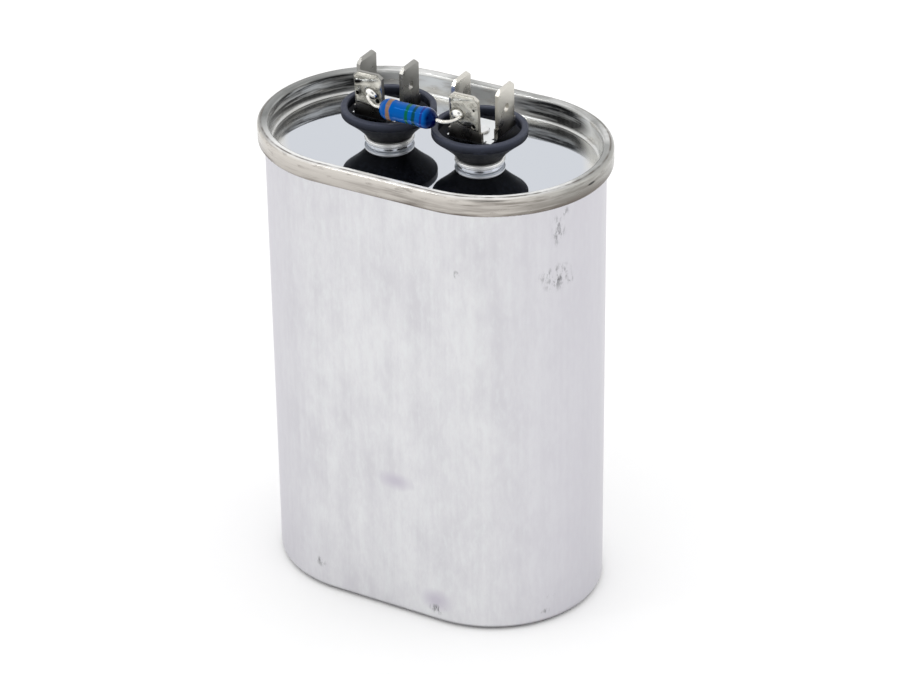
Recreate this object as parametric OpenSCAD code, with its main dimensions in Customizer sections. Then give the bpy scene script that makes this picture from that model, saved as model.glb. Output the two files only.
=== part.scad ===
// Motor run capacitor: an oval drawn can with a seamed lid, two bladed terminals in
// insulator cups, and a bleed resistor soldered between the two front blades.
// The origin is the centre of the base. X is the long way, -Y is the resistor's side, +Z is up.

/* [Case] */
// Length over the seam
case_length = 73.9; // [68:0.1:92]
// Width over the seam
case_width = 48.5; // [44:0.1:60]
// Height from the base to the top of the seam
case_height = 100; // [80:0.5:130]
// Sheet thickness of the can
can_t = 0.45; // [0.35:0.01:0.6]
// Outer radius of the can's bottom edge
base_radius = 1.6; // [1.3:0.1:2.5]

/* [Double seam] */
// Height of the seam
seam_height = 4.1; // [3.4:0.1:5]
// Sheet thickness of the lid
lid_t = 0.4; // [0.3:0.01:0.5]
// Gap between neighbouring layers of the seam
seam_gap = 0.05; // [0.02:0.01:0.08]
// Outer radius of the seam's top corners
seam_top_radius = 0.9; // [0.7:0.05:1]
// Outer radius of the seam's lower corner
seam_foot_radius = 0.5; // [0.3:0.05:0.6]
// Height of the sealing compound in the top of the seam
compound_t = 0.3; // [0.2:0.05:0.5]
// Clearance over the end of each hook
hook_clear = 0.15; // [0.1:0.05:0.3]

/* [Lid] */
// Depth of the lid's panel below the top of the seam
recess_depth = 4.85; // [4.4:0.05:6.5]
// Radius at the foot of the recess wall
recess_radius = 0.8; // [0.5:0.05:1.2]
// Distance between the two terminals
terminal_pitch = 20.6; // [20:0.1:26]
// Height of the collars over the panel
collar_height = 1.45; // [1.3:0.05:2]
// Radius of the collars' rolled lip
lip_radius = 0.55; // [0.45:0.05:0.65]
// Wall of the collars below the lip
collar_wall = 0.7; // [0.5:0.05:0.9]

/* [Insulator cups] */
// Outer radius of the cup's rim
cup_radius = 9.55; // [9:0.05:9.9]
// Height of the cup's rim over the panel
cup_height = 7.95; // [7.2:0.05:9.5]
// Wall of the rim
rim_wall = 1.35; // [1:0.05:1.6]
// Height of the rim's upright outer face
rim_height = 1.6; // [1.2:0.05:2]
// Depth of the cup's upright inner wall
cup_depth = 1.8; // [1.5:0.05:2]
// Radius of the skirt's foot on the collar
seat_radius = 4.6; // [4.5:0.05:5.2]
// Radius of the neck that passes through the lid
neck_radius = 3.85; // [3.6:0.05:4.1]
// Clearance round the neck
neck_clear = 0.05; // [0.03:0.01:0.1]
// Radius of the boss under the terminal plate
boss_radius = 3.4; // [3:0.05:3.6]
// Height of the well's floor over the collar
well_rise = 1.8; // [1.5:0.05:2.2]
// Width of the well's flat floor round the boss
well_floor = 0.6; // [0.3:0.05:1]
// Bow of the skirt, where 1 is a straight cone, less is hollow and more is bulged
skirt_bow = 0.8; // [0.65:0.05:1.4]

/* [Terminals] */
// Sheet thickness of the terminals
blade_t = 0.8; // [0.7:0.05:0.9]
// Width of a blade
blade_w = 6.35; // [6.2:0.05:6.5]
// Length of a blade over its shoulders
blade_length = 8; // [7:0.1:9]
// Chamfer of a blade's top corners
blade_corner = 1; // [0.8:0.1:2]
// Width of a blade's root
root_w = 7.3; // [6.8:0.05:7.6]
// Height of the shoulders over the base plate
root_height = 2.2; // [1.6:0.05:3]
// Inner radius of the bends
bend_radius = 0.4; // [0.3:0.05:0.6]
// Distance over the outer faces of the two side blades
blade_span = 10.5; // [10:0.05:11]
// Distance from the rivet to the front blade's outer face
front_reach = 5.3; // [4.5:0.05:5.8]
// Lean of the front blade away from the others, degrees
front_lean = 4.5; // [0:0.5:8]
// How far the front blade stands off the terminal's middle, towards -X
front_shift = 0.3; // [0:0.05:0.4]
// How far the left terminal sits off its cup's middle, towards -X
left_shift = 0.85; // [0:0.05:0.9]
// Least clearance between a terminal's root and the wall of its cup
root_clear = 0.05; // [0.03:0.01:0.1]
// Distance of the side blades' middle behind the rivet
side_offset = 1.35; // [1.1:0.05:1.9]
// Depth of the base plate's top below the rim
plate_sink = 1; // [0.8:0.05:1.4]
// Width of the relief slots beside the bends
relief_w = 0.35; // [0.3:0.05:0.5]
// Diameter of the blades' holes
hole_d = 1.8; // [1.6:0.05:2]
// Height of the holes over the shoulders
hole_rise = 3.3; // [2.6:0.05:4]

/* [Feed-through] */
// Radius of the rivet's shank
rivet_radius = 1.4; // [1.2:0.05:1.6]
// Radius of the rivet's head
head_radius = 2; // [1.8:0.05:2.4]
// Height of the rivet's head
head_h = 0.4; // [0.3:0.05:0.6]
// Radius of the rivet's swaged foot
foot_radius = 2.4; // [2.1:0.05:2.8]
// Height of the rivet's swaged foot
foot_h = 0.6; // [0.5:0.05:0.9]
// Clearance round the rivet's shank
rivet_clear = 0.05; // [0.03:0.01:0.1]
// Thickness of the gasket under the lid
gasket_t = 1; // [0.8:0.05:1.5]
// Outer radius of the gasket
gasket_radius = 6.2; // [5.6:0.1:7]
// Thickness of the inner bushing
bushing_t = 1.5; // [1.2:0.05:2]
// Outer radius of the inner bushing
bushing_radius = 6.8; // [6.2:0.1:7.5]
// Thickness of the solder lug
lug_t = 0.4; // [0.3:0.05:0.6]
// Radius of the lug's ring
lug_radius = 3.4; // [3.2:0.05:3.8]
// Width of the lug's tail
lug_w = 4.4; // [4:0.1:5]
// Length of the lug from the rivet to the end of its tail
lug_length = 9; // [8:0.1:10]

/* [Winding] */
// Wall of the insulating liner
liner_t = 0.8; // [0.6:0.05:1]
// Clearance between liner and can
liner_clear = 0.15; // [0.1:0.05:0.3]
// Distance of the liner's edge below the lid
liner_drop = 2; // [1.5:0.1:4]
// Thickness of the pressboard insulators
board_t = 1.5; // [1.2:0.1:2]
// Clearance round the pressboard insulators
board_clear = 0.1; // [0.05:0.05:0.2]
// Wall of the wrap round the winding
wrap_t = 0.5; // [0.3:0.05:0.8]
// Clearance between wrap and liner
wrap_clear = 0.2; // [0.1:0.05:0.4]
// Height of the wrap's edge over the top end contact
wrap_over = 2; // [1.5:0.1:3]
// Clearance round the film roll
roll_clear = 0.05; // [0.03:0.01:0.1]
// Thickness of the sprayed end contacts
spray_t = 0.6; // [0.4:0.05:1]
// Distance of the end contacts' edge inside the roll's
spray_inset = 0.2; // [0.1:0.05:0.5]
// Free height between the top insulator and the lid
head_room = 9.3; // [7.5:0.1:12]
// Half the width of the flattened core's bore
core_bore = 2; // [1.8:0.05:2.5]
// Wall of the core
core_t = 0.8; // [0.6:0.05:1.2]
// Thickness of the inner ribbon leads
ribbon_t = 0.25; // [0.2:0.01:0.35]
// Width of the inner ribbon leads
ribbon_w = 4; // [3:0.1:4.2]
// Distance of the left ribbon's drop behind the rivet
ribbon_drop_y = 5.5; // [5.2:0.05:6]
// Length of the ribbons' feet on the end contacts
ribbon_foot = 6; // [4:0.1:8]
// Distance of a ribbon's end inside the end of its lug
ribbon_inset = 0.4; // [0.2:0.05:0.8]
// Clearance round a ribbon in a slot or pocket
ribbon_clear = 0.15; // [0.1:0.05:0.3]

/* [Bleed resistor] */
// Length of the resistor's body
bleed_length = 12.6; // [11:0.1:13]
// Diameter of the body's round ends
bleed_end_d = 4.3; // [4.1:0.05:4.6]
// Diameter of the body's waist
bleed_waist_d = 4; // [3.7:0.05:4.1]
// Length of the waist
bleed_waist = 4.8; // [4:0.1:5.5]
// Distance of the body's axis in front of the front blades
bleed_reach = 1.8; // [1.7:0.05:4]
// Distance of the body's axis below the blades' holes
bleed_drop = 1.35; // [0.5:0.05:1.8]
// Distance of the body's middle from the can's, along X
bleed_shift = -1.45; // [-2.2:0.05:2.2]
// Diameter of the ceramic rod
rod_d = 2.5; // [2.2:0.05:2.7]
// Length of the ceramic rod
rod_length = 9.2; // [8.6:0.1:9.4]
// Wall of the end caps
cap_t = 0.25; // [0.2:0.01:0.3]
// Length of the end caps
cap_length = 2.6; // [2:0.1:3]
// Clearance between rod, caps and coat
cap_clear = 0.03; // [0.02:0.01:0.05]
// Diameter of the resistor's leads
lead_d = 0.75; // [0.6:0.05:0.85]
// Distance that a lead stands out behind its blade
lead_tail = 0.9; // [0.5:0.1:1.5]
// Sag of the leads on their way to the blades
lead_sag = 0.4; // [0:0.1:0.6]
// Length of a lead's straight end in front of its blade
lead_straight = 1; // [0.9:0.05:1.3]
// Clearance between a lead and the side of its blade's hole
lead_clear = 0.08; // [0.05:0.01:0.12]
// Thickness of the solder on the front blades
solder_t = 0.7; // [0.5:0.05:0.9]
// Least clearance between the coat's round ends and the solder
coat_clear = 0.1; // [0.05:0.05:0.3]

/* [Hidden] */
$fn = 96;

// How far a cutter reaches past what it cuts
over = 1;
// Straight steps of the cups' skirt and of a lead's curve
skirt_steps = 8;
lead_steps = 20;
// Flat sides round a lead
lead_sides = 12;

// Plan: two half circles joined by straight sides of this half length
half_straight = (case_length - case_width) / 2;

// Seam layers, from the outside in
seam_r = case_width / 2;
can_hook_r1 = seam_r - lid_t - seam_gap;
can_hook_r0 = can_hook_r1 - can_t;
lid_hook_r1 = can_hook_r0 - seam_gap;
lid_hook_r0 = lid_hook_r1 - lid_t;
can_r = lid_hook_r0 - seam_gap;
can_bore_r = can_r - can_t;
chuck_r1 = can_bore_r - seam_gap;
chuck_r0 = chuck_r1 - lid_t;

// Seam heights
seam_bottom = case_height - seam_height;
flange_top = case_height - lid_t - compound_t;
lid_hook_top = flange_top - can_t - hook_clear;
can_hook_bottom = seam_bottom + lid_t + hook_clear;
fold_radius = seam_top_radius - lid_t;

// Lid and cup levels
panel_z = case_height - recess_depth;
panel_under = panel_z - lid_t;
collar_top = panel_z + collar_height;
collar_bore = neck_radius + neck_clear;
lip_crest_r = collar_bore + lip_radius + neck_clear;
skirt_foot_r = max(seat_radius, lip_crest_r);
cup_top = panel_z + cup_height;
rim_bottom = cup_top - rim_height;
cup_bore = rivet_radius + rivet_clear;

// Terminal levels
plate_top = cup_top - plate_sink;
plate_under = plate_top - blade_t;
shoulder_z = plate_top + root_height;
hole_z = shoulder_z + hole_rise;

// The left terminal stands off its cup's middle, but its root's corner keeps off the cup's wall
cup_wall_r = cup_radius - rim_wall;
corner_y = side_offset + root_w / 2;
left_room = sqrt(cup_wall_r * cup_wall_r - corner_y * corner_y) - blade_span / 2 - root_clear;
sheet_shift = min(left_shift, left_room);

// Front blade: the middle of its bend, and its outer face at the height of the hole
front_bend_y = -front_reach + blade_t + bend_radius;
hole_face_y = -front_reach - (hole_z - plate_top - bend_radius) * tan(front_lean);

// Feed-through levels
gasket_bottom = panel_under - gasket_t;
bushing_bottom = gasket_bottom - bushing_t;
lug_bottom = bushing_bottom - lug_t;
rivet_bottom = lug_bottom - foot_h;

// Winding, from the outside in and from the bottom up
liner_r = can_bore_r - liner_clear;
liner_bore_r = liner_r - liner_t;
liner_corner = base_radius - can_t - liner_clear;
board_r = liner_bore_r - board_clear;
wrap_r = liner_bore_r - wrap_clear;
wrap_bore_r = wrap_r - wrap_t;
roll_r = wrap_bore_r - roll_clear;
spray_r = roll_r - spray_inset;
core_r = core_bore + core_t;
board_z = can_t + liner_t;
spray_z = board_z + board_t;
roll_z = spray_z + spray_t;
top_board_z = panel_under - head_room - board_t;
top_spray_z1 = top_board_z - wrap_over;
top_spray_z = top_spray_z1 - spray_t;

// The right ribbon goes down inside the core, so it keeps within the core's flat bore
ribbon_gap = ribbon_t / 2 + ribbon_clear;
core_reach = half_straight + sqrt(core_bore * core_bore - ribbon_gap * ribbon_gap);
core_ribbon_x = min(terminal_pitch / 2, core_reach - ribbon_w / 2);

// Bleed resistor
bleed_y = hole_face_y - max(bleed_reach, least_reach(-1), least_reach(1));
lead_side = (hole_d - lead_d) / 2 - lead_clear;
bleed_z = hole_z - bleed_drop;
cap_r = rod_d / 2 + cap_clear + cap_t;
cap_end = rod_length / 2 + cap_clear + cap_t;

// ---- 2D helpers: x is a radius or a distance, y is a height ----

// Cutter that rounds one corner of a box at (x, y), opening towards (dx, dy)
module corner_cut(x, y, dx, dy, r) {
    if (r > 0)
        difference() {
            translate([x + dx * (r - over) / 2, y + dy * (r - over) / 2])
                square(r + over, center = true);
            translate([x + dx * r, y + dy * r]) circle(r);
        }
}

// Box from (x0, y0) to (x1, y1); radii are lower left, lower right, upper right, upper left
module round_box(x0, y0, x1, y1, r = [0, 0, 0, 0]) {
    difference() {
        translate([x0, y0]) square([x1 - x0, y1 - y0]);
        corner_cut(x0, y0, 1, 1, r[0]);
        corner_cut(x1, y0, -1, 1, r[1]);
        corner_cut(x1, y1, -1, -1, r[2]);
        corner_cut(x0, y1, 1, -1, r[3]);
    }
}

// The oval outline at radius r
module oval(r) {
    square([2 * half_straight, 2 * r], center = true);
    for (side = [-1, 1]) translate([side * half_straight, 0]) circle(r);
}

// An oval plate, or a wall if it is given a bore
module oval_slab(z0, z1, r, bore = 0) {
    translate([0, 0, z0])
        linear_extrude(z1 - z0)
            difference() {
                oval(r);
                if (bore > 0) oval(bore);
            }
}

// Sweeps a half section, drawn as radius and height, round the oval
module oval_sweep() {
    for (side = [-1, 1])
        translate([side * half_straight, 0, 0])
            rotate([0, 0, -90 * side])
                rotate_extrude(angle = 180) children();
    rotate([90, 0, 90])
        linear_extrude(2 * half_straight, center = true) {
            children();
            mirror([1, 0]) children();
        }
}

// A flat ring
module ring(z0, z1, r, bore) {
    translate([0, 0, z0])
        difference() {
            cylinder(h = z1 - z0, r = r);
            translate([0, 0, -over]) cylinder(h = z1 - z0 + 2 * over, r = bore);
        }
}

// Puts its child at one terminal; side is -1 for the left and 1 for the right
module at_terminal(side) {
    translate([side * terminal_pitch / 2, 0, 0]) children();
}

// Middle of a terminal's sheet, which on the left is off the cup's middle
module at_sheet(side) {
    at_terminal(side) translate([side < 0 ? -sheet_shift : 0, 0, 0]) children();
}

// Where a ribbon goes through the boards
module at_core_ribbon() {
    translate([core_ribbon_x, 0, 0]) children();
}

// ---- Case ----

// Half section of the can: floor, rounded bottom edge, wall, and the hook in the seam
module can_section() {
    wall_top = can_hook_bottom + hook_clear;
    difference() {
        round_box(0, 0, can_r, wall_top, [0, base_radius, 0, 0]);
        round_box(-over, can_t, can_bore_r, wall_top + over, [0, base_radius - can_t, 0, 0]);
    }
    difference() {
        round_box(can_bore_r, can_hook_bottom, can_hook_r1, flange_top,
                  [0, can_t / 3, fold_radius, fold_radius]);
        translate([can_r, can_hook_bottom - over])
            square([can_hook_r0 - can_r, flange_top - can_t - can_hook_bottom + over]);
    }
}

module can() {
    color("#cfced6") oval_sweep() can_section();
}

// Half section of the lid: panel, recess wall, and the seam folded over the can's hook
module lid_section() {
    difference() {
        round_box(0, panel_under, chuck_r1, seam_bottom + lid_t,
                  [0, recess_radius + lid_t, 0, 0]);
        round_box(-over, panel_z, chuck_r0, case_height, [0, recess_radius, 0, 0]);
    }
    difference() {
        round_box(chuck_r0, seam_bottom, seam_r, case_height,
                  [0, seam_foot_radius, seam_top_radius, seam_top_radius]);
        round_box(chuck_r1, seam_bottom + lid_t, seam_r - lid_t, case_height - lid_t,
                  [0, 0, fold_radius, fold_radius]);
        translate([chuck_r1, seam_bottom - over])
            square([lid_hook_r0 - chuck_r1, 2 * lid_t + over]);
    }
    round_box(lid_hook_r0, seam_bottom, lid_hook_r1, lid_hook_top, [lid_t / 2, 0, 0, 0]);
}

// Half section of a collar: an upright wall with a rolled lip, round the insulator's neck
module collar_section() {
    translate([collar_bore, panel_under])
        square([collar_wall, collar_top - lip_radius - panel_under]);
    translate([lip_crest_r, collar_top - lip_radius])
        circle(lip_radius);
}

module lid() {
    color("#c9ccd1") {
        difference() {
            oval_sweep() lid_section();
            for (side = [-1, 1])
                at_terminal(side)
                    translate([0, 0, panel_under - over])
                        cylinder(h = lid_t + 2 * over, r = collar_bore);
        }
        for (side = [-1, 1]) at_terminal(side) rotate_extrude() collar_section();
    }
}

module seam_compound() {
    color("#3a3d3a")
        oval_sweep()
            round_box(chuck_r1 + fold_radius, flange_top,
                      seam_r - lid_t - fold_radius, case_height - lid_t);
}

// ---- Insulator cups ----

// Half section of a cup: neck, bell-shaped skirt, rim, well and the boss under the plate
module cup_section() {
    bevel = rim_wall / 6;
    well_z = collar_top + well_rise;
    skirt = [for (i = [1 : skirt_steps - 1])
        [skirt_foot_r + (cup_radius - skirt_foot_r) * i / skirt_steps,
         collar_top + (rim_bottom - collar_top) * pow(i / skirt_steps, skirt_bow)]];
    polygon(concat(
        [[cup_bore, gasket_bottom], [neck_radius, gasket_bottom], [neck_radius, collar_top],
         [skirt_foot_r, collar_top]],
        skirt,
        [[cup_radius, rim_bottom], [cup_radius, cup_top - bevel], [cup_radius - bevel, cup_top],
         [cup_wall_r + bevel, cup_top], [cup_wall_r, cup_top - bevel],
         [cup_wall_r, cup_top - cup_depth],
         [boss_radius + well_floor, well_z], [boss_radius, well_z], [boss_radius, plate_under],
         [cup_bore, plate_under]]));
}

module cup(side) {
    color("#34343c") at_terminal(side) rotate_extrude() cup_section();
}

module left_cup() { cup(-1); }
module right_cup() { cup(1); }

// ---- Terminals ----

// Outline of one blade with its root, seen square on; y is the height over the plate's top
module blade_outline() {
    tip = root_height + blade_length;
    polygon([
        [-root_w / 2, -blade_t - over], [root_w / 2, -blade_t - over], [root_w / 2, root_height],
        [blade_w / 2, root_height], [blade_w / 2, tip - blade_corner],
        [blade_w / 2 - blade_corner, tip], [blade_corner - blade_w / 2, tip],
        [-blade_w / 2, tip - blade_corner], [-blade_w / 2, root_height],
        [-root_w / 2, root_height]]);
}

// Edge view of a blade bent up from the plate, with its outer face at x = reach
module blade_edge(reach, lean = 0) {
    tip = root_height + blade_length;
    coin = blade_t / 4;
    inner = reach - blade_t;
    bend_x = inner - bend_radius;
    bend_far = 2 * (bend_radius + blade_t);
    translate([0, -blade_t]) square([bend_x, blade_t]);
    intersection() {
        translate([bend_x, bend_radius])
            difference() {
                circle(bend_radius + blade_t);
                circle(bend_radius);
            }
        translate([bend_x, bend_radius])
            polygon([[0, 0], [0, -bend_far], [bend_far, -bend_far],
                     [bend_far * cos(lean), -bend_far * sin(lean)]]);
    }
    translate([bend_x, bend_radius])
        rotate(-lean)
            translate([-bend_x, -bend_radius])
                polygon([[inner, bend_radius], [reach, bend_radius], [reach, tip - 3 * coin],
                         [reach - coin, tip], [inner + coin, tip], [inner, tip - 3 * coin]]);
}

// One blade towards +X, with its hole
module blade(reach, lean = 0) {
    difference() {
        intersection() {
            rotate([90, 0, 0]) linear_extrude(root_w, center = true) blade_edge(reach, lean);
            rotate([90, 0, 90]) linear_extrude(reach + blade_length) blade_outline();
        }
        translate([0, 0, root_height + hole_rise])
            rotate([0, 90, 0]) cylinder(h = reach + blade_length, d = hole_d);
    }
}

// Base plate: a back part between the side blades and two ears in front of them
module plate_outline() {
    half = blade_span / 2;
    back = side_offset + root_w / 2;
    ear_front = -front_reach + blade_t;
    ear_back = side_offset - root_w / 2 - relief_w;
    difference() {
        union() {
            translate([-half + blade_t + bend_radius, ear_front])
                square([2 * (half - blade_t - bend_radius), back - ear_front]);
            translate([-half + blade_t / 2, ear_front])
                square([2 * half - blade_t, ear_back - ear_front]);
        }
        for (side = [-1, 1])
            translate([side * (root_w + relief_w) / 2 - front_shift, ear_front])
                square([relief_w, 2 * (bend_radius + relief_w)], center = true);
        translate([-root_w / 2 - front_shift, ear_front - over])
            square([root_w, over + bend_radius]);
    }
}

module terminal(side) {
    color("#c6c3bb")
        difference() {
            at_sheet(side)
                translate([0, 0, plate_top]) {
                    translate([0, 0, -blade_t]) linear_extrude(blade_t) plate_outline();
                    translate([0, side_offset, 0]) blade(blade_span / 2);
                    translate([0, side_offset, 0]) rotate([0, 0, 180]) blade(blade_span / 2);
                    translate([-front_shift, 0, 0]) rotate([0, 0, -90]) blade(front_reach, front_lean);
                }
            at_terminal(side)
                translate([0, 0, plate_under - over])
                    cylinder(h = blade_t + 2 * over, r = cup_bore);
        }
}

module left_terminal() { terminal(-1); }
module right_terminal() { terminal(1); }

// ---- Feed-through ----

module rivet(side) {
    bevel = head_h / 2;
    color("#b9b4a6")
        at_terminal(side)
            rotate_extrude()
                polygon([
                    [0, rivet_bottom], [foot_radius - bevel, rivet_bottom],
                    [foot_radius, rivet_bottom + bevel], [foot_radius, lug_bottom],
                    [rivet_radius, lug_bottom], [rivet_radius, plate_top],
                    [head_radius, plate_top], [head_radius, plate_top + head_h - bevel],
                    [head_radius - bevel, plate_top + head_h], [0, plate_top + head_h]]);
}

module gasket(side) {
    color("#26262a")
        at_terminal(side) ring(gasket_bottom, panel_under, gasket_radius, collar_bore);
}

module bushing(side) {
    color("#5b3a22")
        at_terminal(side) ring(bushing_bottom, gasket_bottom, bushing_radius, cup_bore);
}

module lug(side) {
    color("#c2b689")
        at_terminal(side)
            translate([0, 0, lug_bottom])
                linear_extrude(lug_t)
                    difference() {
                        union() {
                            circle(lug_radius);
                            translate([-lug_w / 2, 0]) square([lug_w, lug_length]);
                        }
                        circle(cup_bore);
                    }
}

module left_rivet() { rivet(-1); }
module right_rivet() { rivet(1); }
module left_gasket() { gasket(-1); }
module right_gasket() { gasket(1); }
module left_bushing() { bushing(-1); }
module right_bushing() { bushing(1); }
module left_lug() { lug(-1); }
module right_lug() { lug(1); }

// ---- Inner leads ----

// Unit vector, its left normal, and the mitred offset at a corner of a strip's middle line
function unit(v) = v / norm(v);
function left_of(v) = [-v[1], v[0]];
function mitre(a, b) = (left_of(a) + left_of(b)) / (1 + a * b);
function strip_side(p, half) = [for (i = [0 : len(p) - 1])
    let (before = unit(i > 0 ? p[i] - p[i - 1] : p[1] - p[0]),
         after = unit(i < len(p) - 1 ? p[i + 1] - p[i] : p[i] - p[i - 1]))
    p[i] + half * mitre(before, after)];

// A folded ribbon: its middle line is given as y and z, its width is along X
module ribbon(path) {
    there = strip_side(path, ribbon_t / 2);
    back = strip_side(path, -ribbon_t / 2);
    rotate([90, 0, 90])
        linear_extrude(ribbon_w, center = true)
            polygon(concat(there, [for (i = [len(back) - 1 : -1 : 0]) back[i]]));
}

module left_ribbon() {
    top = lug_bottom - ribbon_t / 2;
    foot = top_spray_z1 + ribbon_t / 2;
    color("#c9b06a")
        at_terminal(-1)
            ribbon([[lug_length - ribbon_inset, top], [ribbon_drop_y, top], [ribbon_drop_y, foot],
                    [ribbon_drop_y + ribbon_foot, foot]]);
}

module right_ribbon() {
    top = lug_bottom - ribbon_t / 2;
    foot = spray_z - ribbon_t / 2;
    jog = (lug_bottom + top_board_z + board_t) / 2;
    color("#c9b06a")
        at_core_ribbon()
            ribbon([[lug_length - ribbon_inset, top], [ribbon_drop_y, top], [ribbon_drop_y, jog],
                    [0, top_board_z + board_t + ribbon_clear], [0, foot], [core_r + ribbon_foot, foot]]);
}

// ---- Winding and its insulation ----

module can_liner() {
    color("#b79b6c")
        difference() {
            oval_sweep()
                round_box(0, can_t, liner_r, panel_under - liner_drop, [0, liner_corner, 0, 0]);
            oval_slab(board_z, panel_under, liner_bore_r);
        }
}

// Slot for a ribbon through a board of thickness t, with its middle at y
module ribbon_slot(y, z0, t) {
    translate([-ribbon_w / 2 - ribbon_clear, y - ribbon_t / 2 - ribbon_clear, z0 - over])
        cube([ribbon_w + 2 * ribbon_clear, ribbon_t + 2 * ribbon_clear, t + 2 * over]);
}

module bottom_board() {
    depth = ribbon_t + ribbon_clear;
    color("#a98a55")
        difference() {
            oval_slab(board_z, spray_z, board_r);
            at_core_ribbon()
                translate([-ribbon_w / 2 - ribbon_clear, -ribbon_t / 2 - ribbon_clear,
                           spray_z - depth])
                    cube([ribbon_w + 2 * ribbon_clear,
                          core_r + ribbon_foot + ribbon_t / 2 + 2 * ribbon_clear, depth + over]);
        }
}

module top_board() {
    color("#a98a55")
        difference() {
            oval_slab(top_board_z, top_board_z + board_t, board_r);
            at_terminal(-1) ribbon_slot(ribbon_drop_y, top_board_z, board_t);
            at_core_ribbon() ribbon_slot(0, top_board_z, board_t);
        }
}

module roll_wrap() {
    color("#8d7a52") oval_slab(spray_z, top_board_z, wrap_r, wrap_bore_r);
}

module film_roll() {
    color("#d8d4c6") oval_slab(roll_z, top_spray_z, roll_r, core_r);
}

module core_tube() {
    color("#e6e2d4") oval_slab(spray_z, top_spray_z1, core_r, core_bore);
}

module bottom_spray() {
    color("#8f9297") oval_slab(spray_z, roll_z, spray_r, core_r);
}

module top_spray() {
    color("#8f9297") oval_slab(top_spray_z, top_spray_z1, spray_r, core_r);
}

// ---- Bleed resistor ----

// Lays its child, which is turned about Z, along X at the resistor's place
module along_bleed() {
    translate([bleed_shift, bleed_y, bleed_z]) rotate([0, 90, 0]) children();
}

// Outline of the coat's right half: a round end, a shoulder and the waist
module coat_outline() {
    end_r = bleed_end_d / 2;
    waist_r = bleed_waist_d / 2;
    ball_z = bleed_length / 2 - end_r;
    intersection() {
        translate([0, ball_z]) circle(end_r);
        translate([0, ball_z]) square(end_r + over);
    }
    polygon([[0, 0], [waist_r, 0], [waist_r, bleed_waist / 2],
             [end_r, (ball_z + bleed_waist / 2) / 2], [end_r, ball_z], [0, ball_z]]);
}

module bleed_coat() {
    color("#1f5fc4")
        along_bleed()
            rotate_extrude()
                difference() {
                    union() {
                        coat_outline();
                        mirror([0, 1]) coat_outline();
                    }
                    translate([0, -rod_length / 2]) square([rod_d / 2 + cap_clear, rod_length]);
                    for (side = [0, 1])
                        mirror([0, side]) {
                            translate([0, cap_end - cap_length - cap_clear])
                                square([cap_r + cap_clear, cap_length + 2 * cap_clear]);
                            square([lead_d / 2 + cap_clear, bleed_length]);
                        }
                }
}

module bleed_rod() {
    color("#d9d2c2")
        along_bleed() cylinder(h = rod_length, d = rod_d, center = true);
}

module bleed_cap(side) {
    color("#b5b7bb")
        along_bleed()
            mirror([0, 0, side > 0 ? 0 : 1])
                rotate_extrude()
                    difference() {
                        translate([0, cap_end - cap_length]) square([cap_r, cap_length]);
                        translate([0, cap_end - cap_length - over])
                            square([cap_r - cap_t, cap_length + over - cap_t]);
                    }
}

module left_bleed_cap() { bleed_cap(-1); }
module right_bleed_cap() { bleed_cap(1); }

// Point on a cubic curve through four control points
function curve(p, t) =
    pow(1 - t, 3) * p[0] + 3 * t * pow(1 - t, 2) * p[1]
    + 3 * t * t * (1 - t) * p[2] + pow(t, 3) * p[3];

// Middle of a front blade
function front_x(side) =
    side * terminal_pitch / 2 - (side < 0 ? sheet_shift : 0) - front_shift;

// How far the axis must stand in front of a blade for the coat's round end to clear the solder
function least_reach(side) =
    let (ball_x = bleed_shift + side * (bleed_length - bleed_end_d) / 2,
         beside = side * (front_x(side) - ball_x) - blade_w / 2,
         round_r = bleed_end_d / 2 + coat_clear)
    beside >= round_r ? 0
    : solder_t + (beside > 0 ? sqrt(round_r * round_r - beside * beside) : round_r);

// Where a lead lies in its blade's hole, against the side nearer the resistor
function lead_hole_x(side) = front_x(side) - side * lead_side;

// Middle line of a lead: out of the end cap, down a little, and through the blade's hole
function lead_path(side) =
    let (hole_x = lead_hole_x(side),
         out_x = bleed_shift + side * (bleed_length / 2 + lead_d / 2),
         bend = [[out_x, bleed_y, bleed_z],
                 [(out_x + hole_x) / 2, bleed_y, bleed_z - lead_sag],
                 [hole_x, (bleed_y + hole_face_y - lead_straight) / 2, hole_z - lead_sag / 2],
                 [hole_x, hole_face_y - lead_straight, hole_z]])
    concat([[bleed_shift + side * (cap_end + cap_clear), bleed_y, bleed_z]],
           [for (i = [0 : lead_steps]) curve(bend, i / lead_steps)],
           [[hole_x, hole_face_y + blade_t + lead_tail, hole_z]]);

// A round wire along a path that never runs upright
module wire(path, radius, sides) {
    count = len(path);
    rings = [for (i = [0 : count - 1])
        let (along = unit(path[min(i + 1, count - 1)] - path[max(i - 1, 0)]),
             across = unit(cross(along, [0, 0, 1])),
             up = cross(across, along))
        for (k = [0 : sides - 1])
            path[i] + radius * (cos(360 * k / sides) * across + sin(360 * k / sides) * up)];
    skin = [for (i = [0 : count - 2], k = [0 : sides - 1])
        let (a = i * sides + k, b = i * sides + (k + 1) % sides)
        [b, b + sides, a + sides, a]];
    polyhedron(points = rings,
               faces = concat([[for (k = [sides - 1 : -1 : 0]) k]], skin,
                              [[for (k = [0 : sides - 1]) (count - 1) * sides + k]]),
               convexity = 6);
}

module bleed_lead(side) {
    color("#d5d2ca") wire(lead_path(side), lead_d / 2, lead_sides);
}

module left_bleed_lead() { bleed_lead(-1); }
module right_bleed_lead() { bleed_lead(1); }

// Lumps of solder on a front blade: x and height over the shoulders, and radius
LUMPS = [
    [-1.5, 1.4, 2.2], [1.5, 1.2, 2.3], [0.1, 3.1, 2.7], [-1.6, 4.5, 2.3], [1.6, 4.3, 2.2],
    [-1.4, 6.3, 2.1], [1.2, 6.4, 2], [0.1, 5.6, 2.6]
];

// The largest lump stands solder_t off the blade, and the others in proportion
lump_r = max([for (lump = LUMPS) lump[2]]);

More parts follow.
